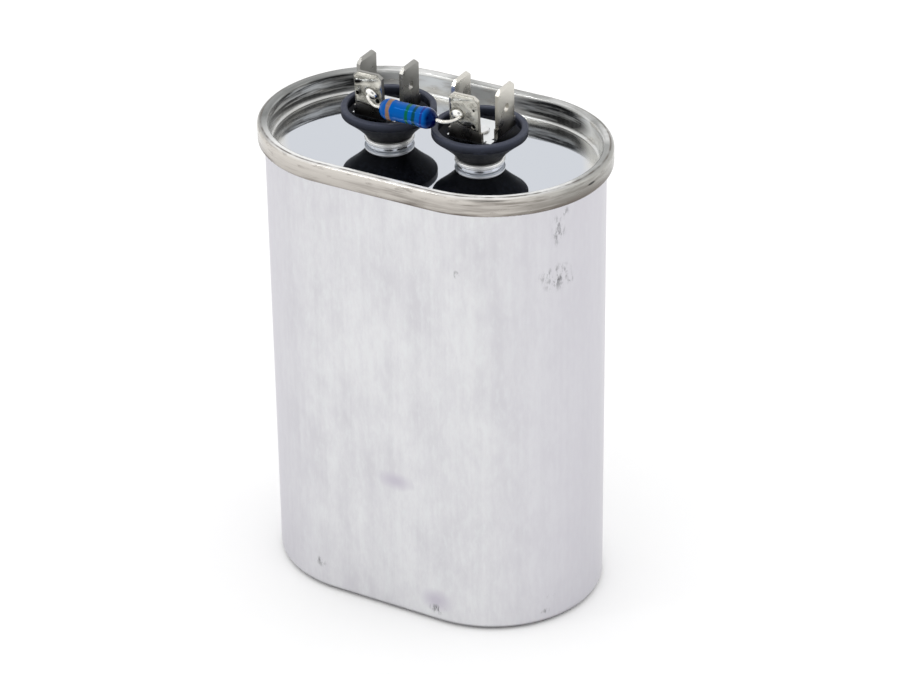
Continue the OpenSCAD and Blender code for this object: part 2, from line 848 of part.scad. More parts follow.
module solder(side) {
    color("#d9d6cc")
        difference() {
            at_sheet(side)
                translate([-front_shift, front_bend_y, plate_top + bend_radius])
                    rotate([front_lean, 0, 0])
                        translate([0, -blade_t - bend_radius, root_height - bend_radius])
                            difference() {
                                for (lump = LUMPS)
                                    translate([lump[0], lump[2] * (1 - solder_t / lump_r), lump[1]])
                                        sphere(lump[2]);
                                translate([-root_w, 0, -blade_length])
                                    cube([2 * root_w, 2 * lump_r, 3 * blade_length]);
                            }
            translate([lead_hole_x(side), hole_face_y - lead_straight, hole_z])
                rotate([-90, 0, 0]) cylinder(h = 2 * lump_r, d = lead_d + 2 * cap_clear);
        }
}

module left_solder() { solder(-1); }
module right_solder() { solder(1); }

can();
lid();
seam_compound();
left_cup();
right_cup();
left_terminal();
right_terminal();
left_rivet();
right_rivet();
left_gasket();
right_gasket();
left_bushing();
right_bushing();
left_lug();
right_lug();
left_ribbon();
right_ribbon();
can_liner();
bottom_board();
top_board();
roll_wrap();
film_roll();
core_tube();
bottom_spray();
top_spray();
bleed_coat();
bleed_rod();
left_bleed_cap();
right_bleed_cap();
left_bleed_lead();
right_bleed_lead();
left_solder();
right_solder();
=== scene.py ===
import math

import bmesh
import bpy
from mathutils import Matrix, Vector, noise


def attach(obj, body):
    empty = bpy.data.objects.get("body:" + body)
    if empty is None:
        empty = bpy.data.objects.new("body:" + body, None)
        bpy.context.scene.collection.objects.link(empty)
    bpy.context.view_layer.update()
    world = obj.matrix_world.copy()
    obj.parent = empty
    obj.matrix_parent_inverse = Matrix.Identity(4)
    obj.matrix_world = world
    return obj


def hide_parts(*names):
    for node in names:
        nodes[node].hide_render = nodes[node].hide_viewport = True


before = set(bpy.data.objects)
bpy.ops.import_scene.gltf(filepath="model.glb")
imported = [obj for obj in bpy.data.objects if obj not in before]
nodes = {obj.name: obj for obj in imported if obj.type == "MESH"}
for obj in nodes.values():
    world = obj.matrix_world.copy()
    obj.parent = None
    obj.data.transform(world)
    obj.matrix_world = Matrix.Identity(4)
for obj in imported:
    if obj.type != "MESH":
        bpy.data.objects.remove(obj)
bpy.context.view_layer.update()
mm = 0.001
noiseSpan = (0.3, 0.7)  # most of a noise lies between these
print("frame loaded:", len(nodes), "solids")


def tone(red, green, blue):
    # a screen colour, 0 to 255, as the linear one that shaders take
    made = []
    for part in (red / 255, green / 255, blue / 255):
        made.append(part / 12.92 if part <= 0.04045 else ((part + 0.055) / 1.055) ** 2.4)
    return (made[0], made[1], made[2], 1.0)


def newFinish(name, roughness=0.4, metallic=0.0):
    finish = bpy.data.materials.new(name)
    finish.use_nodes = True
    shader = finish.node_tree.nodes["Principled BSDF"]
    shader.inputs["Roughness"].default_value = roughness
    shader.inputs["Metallic"].default_value = metallic
    return finish, finish.node_tree, shader


def placeOf(tree):
    found = [n for n in tree.nodes if n.type == "TEX_COORD"]
    node = found[0] if found else tree.nodes.new("ShaderNodeTexCoord")
    return node.outputs["Object"]


def grain(tree, scale, stretch=(1, 1, 1), detail=4.0, rough=0.55, shift=(0, 0, 0), warp=0.0):
    mapping = tree.nodes.new("ShaderNodeMapping")
    mapping.inputs["Scale"].default_value = stretch
    mapping.inputs["Location"].default_value = shift
    tree.links.new(placeOf(tree), mapping.inputs["Vector"])
    texture = tree.nodes.new("ShaderNodeTexNoise")
    texture.inputs["Scale"].default_value = scale
    texture.inputs["Detail"].default_value = detail
    texture.inputs["Roughness"].default_value = rough
    texture.inputs["Distortion"].default_value = warp
    tree.links.new(mapping.outputs["Vector"], texture.inputs["Vector"])
    return texture.outputs["Fac"]


def band(tree, value, low, high, start=0.0, end=1.0):
    # start below low, end above high, a straight slope between
    node = tree.nodes.new("ShaderNodeMapRange")
    node.inputs["From Min"].default_value = low
    node.inputs["From Max"].default_value = high
    node.inputs["To Min"].default_value = start
    node.inputs["To Max"].default_value = end
    tree.links.new(value, node.inputs["Value"])
    return node.outputs["Result"]


def bandMm(tree, value, limits, start=0.0, end=1.0):
    # the same between two places given in mm
    return band(tree, value, limits[0] * mm, limits[1] * mm, start, end)


def axis(tree, letter):
    node = tree.nodes.new("ShaderNodeSeparateXYZ")
    tree.links.new(placeOf(tree), node.inputs["Vector"])
    return node.outputs[letter]


def plain(tree, kind, first, second=0.0, clamp=False):
    node = tree.nodes.new("ShaderNodeMath")
    node.operation = kind
    node.use_clamp = clamp
    for socket, value in zip(node.inputs, (first, second)):
        if isinstance(value, (int, float)):
            socket.default_value = value
        else:
            tree.links.new(value, socket)
    return node.outputs["Value"]


def sums(tree, kind, first, second):
    return plain(tree, kind, first, second, True)


def blendColour(tree, amount, first, second):
    node = tree.nodes.new("ShaderNodeMix")
    node.data_type = "RGBA"
    tree.links.new(amount, node.inputs[0])
    for socket, value in ((node.inputs[6], first), (node.inputs[7], second)):
        if isinstance(value, tuple):
            socket.default_value = value
        else:
            tree.links.new(value, socket)
    return node.outputs[2]


def spot(tree, centre, reach, soft):
    # 1 in the middle of a patch on the surface, 0 outside it
    node = tree.nodes.new("ShaderNodeMapping")
    node.inputs["Location"].default_value = [-c / r for c, r in zip(centre, reach)]
    node.inputs["Scale"].default_value = [1 / r for r in reach]
    tree.links.new(placeOf(tree), node.inputs["Vector"])
    length = tree.nodes.new("ShaderNodeVectorMath")
    length.operation = "LENGTH"
    tree.links.new(node.outputs["Vector"], length.inputs[0])
    return band(tree, length.outputs["Value"], soft, 1.0, 1.0, 0.0)


def bumpy(tree, shader, height, bump):
    depth, strength = bump
    node = tree.nodes.new("ShaderNodeBump")
    node.inputs["Distance"].default_value = depth * mm
    node.inputs["Strength"].default_value = strength
    tree.links.new(height, node.inputs["Height"])
    tree.links.new(node.outputs["Normal"], shader.inputs["Normal"])


def dress(finish, *names):
    for name in names:
        mesh = nodes[name].data
        mesh.materials.clear()
        mesh.materials.append(finish)


canLook = {
    "pale": tone(220, 220, 222),
    "dull": tone(205, 204, 208),
    "cool": tone(225, 229, 229),
    "lilac": tone(199, 197, 204),
    "scuff": tone(84, 84, 86),
    "blot": tone(196, 192, 202),
    "drawLines": (900, 900, 14),
    "clouds": 110,
    "mottle": (900, 900, 320),
    "drawn": (260, 260, 5),
    "lineShare": 0.15,
    "cloudShare": 0.60,
    "drawnShare": 0.25,
    "dullToPale": (0.38, 0.60),  # noise from and to, then the amounts there
    "coolPart": (0.50, 0.72, 0.0, 0.40),
    "lilacPart": (0.50, 0.30, 0.0, 0.30),
    # leftEnd and rightEnd: painted shade, the can darker towards its two round ends
    "leftEnd": (-38.0, -14.0),
    "rightEnd": (22.0, 42.0),
    "roughness": (0.36, 0.46),
    "bump": (0.006, 0.3),  # depth in mm, and strength
    "markGrain": 1000,
    "markPart": (0.49, 0.60),
    "markStrength": 0.8,
    "patchSoft": 0.2,  # share of a patch's reach at full strength
    "dotSoft": 0.7,
    # baseEdge and edgeShade: painted shadow along the foot of the can, where it stands
    "baseEdge": (0.3, 1.3),
    "edgeShade": tone(52, 49, 56),
    "scuffs": [  # middle and reach, mm
        ((32.1, -12.1, 81.0), (2.1, 3.0, 1.7)),
        ((33.0, -10.5, 80.2), (3.2, 4.6, 3.4)),
        ((33.2, -10.2, 90.6), (1.4, 2.2, 4.2)),
        ((14.1, -22.8, 78.4), (0.6, 2.0, 0.8)),
        ((17.2, -22.4, 82.4), (0.8, 2.0, 1.0)),
        ((-15.8, -22.6, 6.2), (1.5, 3.0, 1.4)),
        ((12.2, -22.8, 3.3), (2.3, 3.0, 1.4)),
        ((32.4, -11.5, 6.3), (0.7, 2.0, 0.7)),
        ((31.7, -12.7, 3.1), (1.0, 2.0, 0.8)),
        ((33.7, -9.0, 93.9), (0.8, 2.0, 1.3)),
        ((34.2, -7.8, 78.6), (0.9, 2.0, 0.9)),
        ((-5.0, 22.8, 60.0), (2.0, 3.0, 2.4)),
        ((-30.0, 14.0, 20.0), (2.0, 3.0, 1.6)),
    ],
    "blots": [
        ((2.7, -22.8, 31.5), (4.6, 4.0, 2.4)),
        ((11.8, -22.8, 5.4), (4.2, 4.0, 3.0)),
        ((20.0, 21.0, 30.0), (4.0, 4.0, 3.0)),
    ],
    "dots": [
        ((34.2, -7.6, 95.7), (0.45, 0.8, 0.35)),
    ],
}


def patches(tree, places, soft):
    joined = None
    for centre, reach in places:
        patch = spot(tree, [c * mm for c in centre], [r * mm for r in reach], soft)
        joined = patch if joined is None else sums(tree, "MAXIMUM", joined, patch)
    return joined


def makeCanMetal(look):
    finish, tree, shader = newFinish("canMetal", metallic=1.0)
    lines = grain(tree, 1.0, look["drawLines"], detail=3.0)
    clouds = grain(tree, look["clouds"], (1, 1, 0.6), detail=5.0, rough=0.6)
    mottle = grain(tree, 1.0, look["mottle"], detail=6.0, rough=0.7, shift=(1, 4, 2))
    drawn = grain(tree, 1.0, look["drawn"], detail=3.0, rough=0.6, shift=(7, 2, 0))
    joined = sums(tree, "MULTIPLY", lines, look["lineShare"])
    joined = sums(tree, "ADD", joined, sums(tree, "MULTIPLY", clouds, look["cloudShare"]))
    joined = sums(tree, "ADD", joined, sums(tree, "MULTIPLY", drawn, look["drawnShare"]))
    colour = blendColour(tree, band(tree, joined, *look["dullToPale"]), look["dull"], look["pale"])
    colour = blendColour(tree, band(tree, mottle, *look["coolPart"]), colour, look["cool"])
    colour = blendColour(tree, band(tree, mottle, *look["lilacPart"]), colour, look["lilac"])
    # painted shade: both round ends of the can darker, in the lilac tone
    leftEnd = bandMm(tree, axis(tree, "X"), look["leftEnd"], 1.0, 0.0)
    rightEnd = bandMm(tree, axis(tree, "X"), look["rightEnd"])
    colour = blendColour(tree, sums(tree, "MAXIMUM", leftEnd, rightEnd), colour, look["lilac"])
    blots = patches(tree, look["blots"], look["patchSoft"])
    colour = blendColour(tree, blots, colour, look["blot"])
    marks = grain(tree, look["markGrain"], (1, 1, 0.4), detail=6.0, rough=0.75, shift=(3, 1, 2))
    marks = band(tree, marks, *look["markPart"])
    worn = sums(tree, "MULTIPLY", patches(tree, look["scuffs"], look["patchSoft"]), marks)
    worn = sums(tree, "MULTIPLY", worn, look["markStrength"])
    worn = sums(tree, "MAXIMUM", worn, patches(tree, look["dots"], look["dotSoft"]))
    colour = blendColour(tree, worn, colour, look["scuff"])
    # painted shadow: the can darker along its foot
    edge = bandMm(tree, axis(tree, "Z"), look["baseEdge"], 1.0, 0.0)
    colour = blendColour(tree, edge, colour, look["edgeShade"])
    tree.links.new(colour, shader.inputs["Base Color"])
    tree.links.new(band(tree, clouds, *noiseSpan, *look["roughness"]), shader.inputs["Roughness"])
    bumpy(tree, shader, lines, look["bump"])
    return finish


dress(makeCanMetal(canLook), "can")
print("can finished")

lidLook = {
    "endCentre": 12.7,  # of each round end, from the middle, mm
    "panel": tone(206, 210, 217),
    "collar": tone(255, 255, 254),
    "crest": tone(238, 238, 237),
    "crestShaded": tone(150, 151, 149),
    "face": tone(205, 200, 193),
    "faceShaded": tone(166, 165, 160),
    "chip": tone(34, 32, 30),
    "tarnishAndShade": tone(94, 86, 79),
    "seamFootDark": (95.9, 96.7),
    "wall": tone(228, 229, 227),
    "reflectedDark": tone(20, 21, 22),
    "wallWarm": tone(176, 168, 156),
    "streaks": (70, 70, 1100),
    "scratches": 260,
    # the painted highlight along the front of the seam fades out between these, Y in mm
    "frontCrest": (-20.0, -10.0),
    "leftEnd": (-33.0, -24.0),
    "leftGrey": tone(112, 114, 113),
    "outerFace": (96.2, 99.4),
    "panelRoughness": 0.035,
    "collarRoughness": 0.30,
    "collarMetal": 0.55,
    "border": (17.9, 19.8),  # the panel is duller towards the wall
    "borderTone": tone(222, 221, 217),
    "borderRoughness": 0.20,
    "lineInside": (23.25, 23.45),  # the dark line along the crest
    "lineOutside": (23.6, 23.8),
    "lineHeight": (98.5, 98.8),
    "seamRoughness": (0.14, 0.28),
    "bump": (0.01, 0.5),
    "collarFoot": (95.2, 95.35),
    "wallRadius": (21.15, 21.95),
    "crestRadius": (22.0, 22.3),
    "outerRadius": (23.6, 24.1),
    "borderWear": (0.30, 0.60, 0.5, 1.0),  # noise from and to, then the amounts there
    "faceLow": (0.40, 0.58, 0.35, 1.0),
    "faceStreaks": (0.50, 0.66, 0.0, 0.7),
    "faceSpots": (0.56, 0.70, 0.0, 0.6),
    "crestWear": (0.42, 0.62, 0.0, 0.75),
    "leftStreaks": (0.36, 0.60, 0.55, 1.0),
    "lineWear": (0.36, 0.56, 0.25, 0.9),
    "reflectionStreaks": (0.38, 0.54, 0.5, 1.0),
    "wallSpots": (0.48, 0.70, 0.0, 0.6),
    "edgeAmount": 0.9,
    "patchSoft": 0.6,
    "paintedReflections": [  # painted reflection of dark surroundings on the seam's inner wall; middle and reach, mm
        ((16.0, 22.0, 97.5), (12.0, 8.0, 3.2)),
        ((-30.0, 5.0, 97.8), (13.0, 22.0, 3.3)),
    ],
    "chips": [
        ((36.7, -3.4, 98.3), (1.0, 1.4, 0.3)),
        ((5.6, -1.2, 96.1), (0.6, 0.8, 0.4)),
    ],
}


def ovalRadius(tree, endCentre):
    # distance from the line between the two end centres
    overEnd = plain(tree, "ABSOLUTE", axis(tree, "X"))
    pastStraight = plain(tree, "SUBTRACT", overEnd, endCentre)
    clamped = plain(tree, "MAXIMUM", pastStraight, 0.0)
    flat = tree.nodes.new("ShaderNodeCombineXYZ")
    tree.links.new(clamped, flat.inputs["X"])
    tree.links.new(axis(tree, "Y"), flat.inputs["Y"])
    radius = tree.nodes.new("ShaderNodeVectorMath")
    radius.operation = "LENGTH"
    tree.links.new(flat.outputs["Vector"], radius.inputs[0])
    return radius.outputs["Value"]


def makeLidMetal(look):
    finish, tree, shader = newFinish("lidMetal", metallic=1.0)
    height = axis(tree, "Z")
    radius = ovalRadius(tree, look["endCentre"] * mm)
    streaks = grain(tree, 1.0, look["streaks"], rough=0.6)
    scratches = grain(tree, look["scratches"], (1, 1, 4), rough=0.6)
    onSeam = bandMm(tree, radius, look["wallRadius"])
    inWall = sums(tree, "MULTIPLY", onSeam, bandMm(tree, radius, look["crestRadius"], 1.0, 0.0))
    outside = bandMm(tree, radius, look["outerRadius"])

    raised = bandMm(tree, height, look["collarFoot"])
    border = bandMm(tree, radius, look["border"])
    border = sums(tree, "MULTIPLY", border, band(tree, scratches, *look["borderWear"]))
    flatColour = blendColour(tree, border, look["panel"], look["borderTone"])
    flatColour = blendColour(tree, raised, flatColour, look["collar"])
    tree.links.new(band(tree, raised, 0.0, 1.0, 1.0, look["collarMetal"]), shader.inputs["Metallic"])

    # painted shade: the outer face darker towards its underside, with tarnish streaks and spots over it
    faceShadeAndTarnish = bandMm(tree, height, look["outerFace"], 1.0, 0.0)
    faceShadeAndTarnish = sums(tree, "MULTIPLY", faceShadeAndTarnish, band(tree, streaks, *look["faceLow"]))
    faceShadeAndTarnish = sums(tree, "MAXIMUM", faceShadeAndTarnish, band(tree, streaks, *look["faceStreaks"]))
    faceShadeAndTarnish = sums(tree, "MAXIMUM", faceShadeAndTarnish, band(tree, scratches, *look["faceSpots"]))
    # darker along the foot of the seam
    footDark = bandMm(tree, height, look["seamFootDark"], look["edgeAmount"], 0.0)
    faceShadeAndTarnish = sums(tree, "MAXIMUM", faceShadeAndTarnish, footDark)
    # painted highlight: crest and outer face of the seam lighter along the front, darker round the ends and
    # back
    litFront = bandMm(tree, axis(tree, "Y"), look["frontCrest"], 1.0, 0.0)
    faceLitFront = blendColour(tree, litFront, look["faceShaded"], look["face"])
    outerColour = blendColour(tree, faceShadeAndTarnish, faceLitFront, look["tarnishAndShade"])
    # worn here carries the painted highlight along the front as well as real wear streaks on the crest
    worn = sums(tree, "ADD", litFront, band(tree, streaks, *look["crestWear"]))
    crestColour = blendColour(tree, worn, look["crestShaded"], look["crest"])
    # the crest greyer towards its left end, in streaks
    leftEnd = bandMm(tree, axis(tree, "X"), look["leftEnd"], 1.0, 0.0)
    leftEnd = sums(tree, "MULTIPLY", leftEnd, band(tree, streaks, *look["leftStreaks"]))
    crestColour = blendColour(tree, leftEnd, crestColour, look["leftGrey"])
    seamColour = blendColour(tree, outside, crestColour, outerColour)
    line = bandMm(tree, radius, look["lineInside"])
    line = sums(tree, "MULTIPLY", line, bandMm(tree, radius, look["lineOutside"], 1.0, 0.0))
    line = sums(tree, "MULTIPLY", line, bandMm(tree, height, look["lineHeight"]))
    line = sums(tree, "MULTIPLY", line, band(tree, scratches, *look["lineWear"]))
    seamColour = blendColour(tree, line, seamColour, look["tarnishAndShade"])

    # painted reflection: dark streaky patches on the mirror-bright inner wall, where it reflects dark
    # surroundings
    shade = patches(tree, look["paintedReflections"], look["patchSoft"])
    shade = sums(tree, "MULTIPLY", shade, band(tree, streaks, *look["reflectionStreaks"]))
    faint = band(tree, scratches, *look["wallSpots"])
    wallColour = blendColour(tree, faint, look["wall"], look["wallWarm"])
    wallColour = blendColour(tree, shade, wallColour, look["reflectedDark"])
    seamColour = blendColour(tree, inWall, seamColour, wallColour)
    colour = blendColour(tree, onSeam, flatColour, seamColour)
    chipped = patches(tree, look["chips"], look["patchSoft"])
    colour = blendColour(tree, chipped, colour, look["chip"])
    tree.links.new(colour, shader.inputs["Base Color"])

    dulled = band(tree, border, 0.0, 1.0, look["panelRoughness"], look["borderRoughness"])
    roughMore = sums(tree, "MULTIPLY", raised, look["collarRoughness"])
    roughMix = tree.nodes.new("ShaderNodeMix")
    roughMix.data_type = "FLOAT"
    tree.links.new(onSeam, roughMix.inputs[0])
    tree.links.new(sums(tree, "MAXIMUM", dulled, roughMore), roughMix.inputs[2])
    tree.links.new(band(tree, scratches, *noiseSpan, *look["seamRoughness"]), roughMix.inputs[3])
    tree.links.new(roughMix.outputs[0], shader.inputs["Roughness"])
    bumpy(tree, shader, sums(tree, "MULTIPLY", onSeam, streaks), look["bump"])
    return finish


dress(makeLidMetal(lidLook), "lid")
print("lid finished")

cupLook = {
    "dark": tone(10, 12, 20),
    # worn: tone of the dust, and of the painted highlight on the rim
    "worn": tone(90, 95, 113),
    "under": tone(1, 2, 4),
    "grain": 1500,
    "broadGrain": 220,
    "dustFine": (0.40, 0.72),  # noise from and to, then the amounts there
    "dustBroad": (0.3, 0.7, 0.25, 0.9),
    "dustAmount": 0.46,
    "rimLightAmount": 0.5,
    "roughness": (0.42, 0.62),
    "shine": 0.18,
    "bump": (0.03, 0.5),
    "cone": (96.6, 101.5),  # painted shade, darkest at its foot
    "rim": (101.5, 103.1),
}


def makeCupPlastic(look):
    finish, tree, shader = newFinish("cupPlastic")
    shader.inputs["Specular IOR Level"].default_value = look["shine"]
    fine = grain(tree, look["grain"])
    broad = grain(tree, look["broadGrain"], (1, 1, 2), detail=3.0)
    rim = bandMm(tree, axis(tree, "Z"), look["rim"])
    dustAndRimLight = sums(tree, "MULTIPLY", band(tree, fine, *look["dustFine"]), band(tree, broad, *look["dustBroad"]))
    dustAndRimLight = sums(tree, "MULTIPLY", dustAndRimLight, look["dustAmount"])
    # painted highlight: the rim lighter, joined with the dust
    dustAndRimLight = sums(tree, "MAXIMUM", dustAndRimLight, sums(tree, "MULTIPLY", rim, look["rimLightAmount"]))
    colour = blendColour(tree, dustAndRimLight, look["dark"], look["worn"])
    # painted shade: the cone darker towards its foot, under the rim
    below = bandMm(tree, axis(tree, "Z"), look["cone"], 1.0, 0.0)
    tree.links.new(blendColour(tree, below, colour, look["under"]), shader.inputs["Base Color"])
    tree.links.new(band(tree, fine, *noiseSpan, *look["roughness"]), shader.inputs["Roughness"])
    bumpy(tree, shader, fine, look["bump"])
    return finish


dress(makeCupPlastic(cupLook), "left_cup", "right_cup")

bladeLook = {
    "bright": tone(219, 216, 208),
    # dull: painted shade, the left terminal's darker copy of the same metal
    "dull": tone(160, 159, 155),
    # root: painted shade low down on the blades, inside the cup
    "root": tone(112, 109, 104),
    "plate": tone(232, 234, 235),
    "brush": (2600, 2600, 160),
    "clouds": 260,
    "riseShare": 0.8,
    "cloudShare": 0.25,
    "plateTop": (102.15, 102.4),
    "rootTop": (103.0, 107.5),
    "roughness": (0.22, 0.40),
    "bump": (0.006, 0.3),
}


def makeBladeMetal(name, look, blade):
    finish, tree, shader = newFinish(name, metallic=1.0)
    brush = grain(tree, 1.0, look["brush"], detail=3.0)
    clouds = grain(tree, look["clouds"], detail=2.0, rough=0.5)
    # painted shade: the blades darker low down in the cup, with cloudy patches
    rise = sums(tree, "MULTIPLY", bandMm(tree, axis(tree, "Z"), look["rootTop"]), look["riseShare"])
    rise = sums(tree, "ADD", rise, sums(tree, "MULTIPLY", clouds, look["cloudShare"]))
    upright = blendColour(tree, rise, look["root"], blade)
    overPlate = bandMm(tree, axis(tree, "Z"), look["plateTop"])
    colour = blendColour(tree, overPlate, look["plate"], upright)
    tree.links.new(colour, shader.inputs["Base Color"])
    tree.links.new(band(tree, clouds, *noiseSpan, *look["roughness"]), shader.inputs["Roughness"])
    bumpy(tree, shader, brush, look["bump"])
    return finish


# painted shade: the left terminal's blades get a darker copy of the right one's metal
dress(makeBladeMetal("shadedBlade", bladeLook, bladeLook["dull"]), "left_terminal")
dress(makeBladeMetal("litBlade", bladeLook, bladeLook["bright"]), "right_terminal")
print("cups and blades finished")


plainLook = {
    "toneSpan": (0.35, 0.65),
    "roughSpread": (0.8, 1.2),
    "bump": (0.03, 0.5),
}


def makePlain(name, tones, scale, roughness, metallic=0.0, stretch=(1, 1, 1), bump=plainLook["bump"]):
    finish, tree, shader = newFinish(name, roughness, metallic)
    cloud = grain(tree, scale, stretch, rough=0.6)
    colour = blendColour(tree, band(tree, cloud, *plainLook["toneSpan"]), tones[0], tones[1])
    tree.links.new(colour, shader.inputs["Base Color"])
    least, most = plainLook["roughSpread"]
    varied = band(tree, cloud, *noiseSpan, roughness * least, roughness * most)
    tree.links.new(varied, shader.inputs["Roughness"])
    bumpy(tree, shader, cloud, bump)
    return finish


innerLooks = {
    "rivetMetal": {
        "tones": (tone(222, 223, 223), tone(234, 235, 236)),
        "scale": 900,
        "roughness": 0.3,
        "metallic": 1.0,
    },
    "sealRubber": {
        "tones": (tone(26, 26, 28), tone(44, 44, 46)),
        "scale": 1200,
        "roughness": 0.7,
    },
    "phenolic": {
        "tones": (tone(78, 42, 24), tone(104, 60, 36)),
        "scale": 500,
        "roughness": 0.45,
    },
    "innerBrass": {
        "tones": (tone(186, 158, 92), tone(214, 190, 124)),
        "scale": 700,
        "roughness": 0.28,
        "metallic": 1.0,
    },
    "pressboard": {
        "tones": (tone(150, 118, 76), tone(178, 146, 102)),
        "scale": 600,
        "roughness": 0.8,
        "stretch": (1, 1, 3),
    },
    "woundFilm": {
        "tones": (tone(188, 184, 172), tone(214, 211, 200)),
        "scale": 1.0,
        "roughness": 0.2,
        "stretch": (1800, 1800, 40),
    },
    "corePlastic": {
        "tones": (tone(206, 200, 184), tone(222, 218, 204)),
        "scale": 400,
        "roughness": 0.5,
    },
    "zincSpray": {
        "tones": (tone(104, 106, 112), tone(140, 142, 148)),
        "scale": 2400,
        "roughness": 0.75,
        "metallic": 0.6,
        "bump": (0.1, 0.5),
    },
    "rodCeramic": {
        "tones": (tone(214, 206, 190), tone(228, 222, 208)),
        "scale": 800,
        "roughness": 0.6,
    },
    "capMetal": {
        "tones": (tone(166, 168, 174), tone(196, 198, 202)),
        "scale": 900,
        "roughness": 0.3,
        "metallic": 1.0,
    },
}
innerPieces = {
    "rivetMetal": ("left_rivet", "right_rivet"),
    "sealRubber": ("seam_compound", "left_gasket", "right_gasket"),
    "phenolic": ("left_bushing", "right_bushing"),
    "innerBrass": ("left_lug", "right_lug", "left_ribbon", "right_ribbon"),
    "pressboard": ("can_liner", "bottom_board", "top_board", "roll_wrap"),
    "woundFilm": ("film_roll",),
    "corePlastic": ("core_tube",),
    "zincSpray": ("bottom_spray", "top_spray"),
    "rodCeramic": ("bleed_rod",),
    "capMetal": ("left_bleed_cap", "right_bleed_cap"),
}
for material, look in innerLooks.items():
    dress(makePlain(material, **look), *innerPieces[material])
print("inner pieces finished")

resistorLook = {
    "blue": tone(0, 82, 160),
    "deep": tone(0, 3, 52),
    "gloss": tone(60, 150, 255),
    "roughness": 0.14,
    "shine": 0.45,
    "clouds": 700,
    "bump": (0.03, 0.4),
    "bands": [  # middle and half width along X, mm, colour
        (-5.1, 0.45, tone(140, 106, 69)),
        (-0.95, 0.38, tone(4, 92, 52)),
        (0.62, 0.35, tone(2, 60, 60)),
        (2.35, 0.25, tone(28, 40, 118)),
    ],
    "bandEdge": 0.08,
    "wobble": 0.6,  # how far the edges wander, mm
    "endStart": (3.1, 4.0),
}


def makeResistorLacquer(look):
    finish, tree, shader = newFinish("blueLacquer", look["roughness"])
    shader.inputs["Specular IOR Level"].default_value = look["shine"]
    shader.inputs["Specular Tint"].default_value = look["gloss"]
    cloud = grain(tree, look["clouds"], detail=3.0)
    wander = plain(tree, "MULTIPLY", cloud, look["wobble"] * mm)
    place = plain(tree, "ADD", wander, axis(tree, "X"))
    ends = bandMm(tree, place, look["endStart"])
    colour = blendColour(tree, ends, look["blue"], look["deep"])
    wide = look["bandEdge"]
    for middle, half, shade in look["bands"]:
        middle += look["wobble"] / 2  # what the noise adds on average
        start = bandMm(tree, place, (middle - half - wide, middle - half + wide))
        stop = bandMm(tree, place, (middle + half - wide, middle + half + wide), 1.0, 0.0)
        colour = blendColour(tree, sums(tree, "MULTIPLY", start, stop), colour, shade)
    tree.links.new(colour, shader.inputs["Base Color"])
    bumpy(tree, shader, cloud, look["bump"])
    return finish


dress(makeResistorLacquer(resistorLook), "bleed_coat")
print("resistor finished")

leadLook = {"diameter": 0.75, "sag": 0.4, "straight": 1.0, "tail": 0.9, "steps": 28, "roundSteps": 5}
bleedPlace = {
    "y": -7.501,
    "z": 106.25,
    "shift": -1.45,
    "capEnd": 4.91,
    "half": 6.3,
    "reach": 1.8,
    "holeX": {-1: -11.005, 1: 9.555},
    "holeZ": 107.6,
    "faceY": -5.701,
    "bladeThick": 0.8,
}
leadTones = (tone(206, 203, 196), tone(234, 232, 226))
leadMetal = makePlain("leadMetal", leadTones, scale=1200, roughness=0.2, metallic=1.0)


def bezierPoint(p, t):
    s = 1 - t
    return p[0] * s ** 3 + p[1] * 3 * t * s * s + p[2] * 3 * t * t * s + p[3] * t ** 3


def makeLead(name, side, node):
    hole = bleedPlace["holeX"][side]
    out = bleedPlace["shift"] + side * (bleedPlace["half"] + leadLook["diameter"] / 2)
    bodyY, bodyZ = bleedPlace["y"], bleedPlace["z"]
    faceY, holeZ = bleedPlace["faceY"], bleedPlace["holeZ"]
    between = faceY - (bleedPlace["reach"] + leadLook["straight"]) / 2
    control = [
        Vector((out, bodyY, bodyZ)),
        Vector(((out + hole) / 2, bodyY, bodyZ - leadLook["sag"])),
        Vector((hole, between, holeZ - leadLook["sag"] / 2)),
        Vector((hole, faceY - leadLook["straight"], holeZ)),
    ]
    route = [Vector((bleedPlace["shift"] + side * bleedPlace["capEnd"], bodyY, bodyZ))]
    for i in range(leadLook["steps"] + 1):
        route.append(bezierPoint(control, i / leadLook["steps"]))
    route.append(Vector((hole, faceY + bleedPlace["bladeThick"] + leadLook["tail"], holeZ)))
    data = bpy.data.curves.new(name, "CURVE")
    data.dimensions = "3D"
    data.bevel_depth = leadLook["diameter"] / 2 * mm
    data.bevel_resolution = leadLook["roundSteps"]
    data.use_fill_caps = True
    spline = data.splines.new("POLY")
    spline.points.add(len(route) - 1)
    for point, place in zip(spline.points, route):
        point.co = (place.x * mm, place.y * mm, place.z * mm, 1)
    curve = bpy.data.objects.new(name + "_route", data)
    bpy.context.scene.collection.objects.link(curve)
    bpy.context.view_layer.update()
    mesh = bpy.data.meshes.new_from_object(curve.evaluated_get(bpy.context.evaluated_depsgraph_get()))
    bpy.data.objects.remove(curve)
    mesh.name = name
    lead = bpy.data.objects.new(name, mesh)
    bpy.context.scene.collection.objects.link(lead)
    mesh.materials.clear()
    mesh.materials.append(leadMetal)
    for face in mesh.polygons:
        face.use_smooth = True
    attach(lead, "root")
    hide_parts(node)


makeLead("left_lead_wire", -1, "left_bleed_lead")
makeLead("right_lead_wire", 1, "right_bleed_lead")
print("leads made")

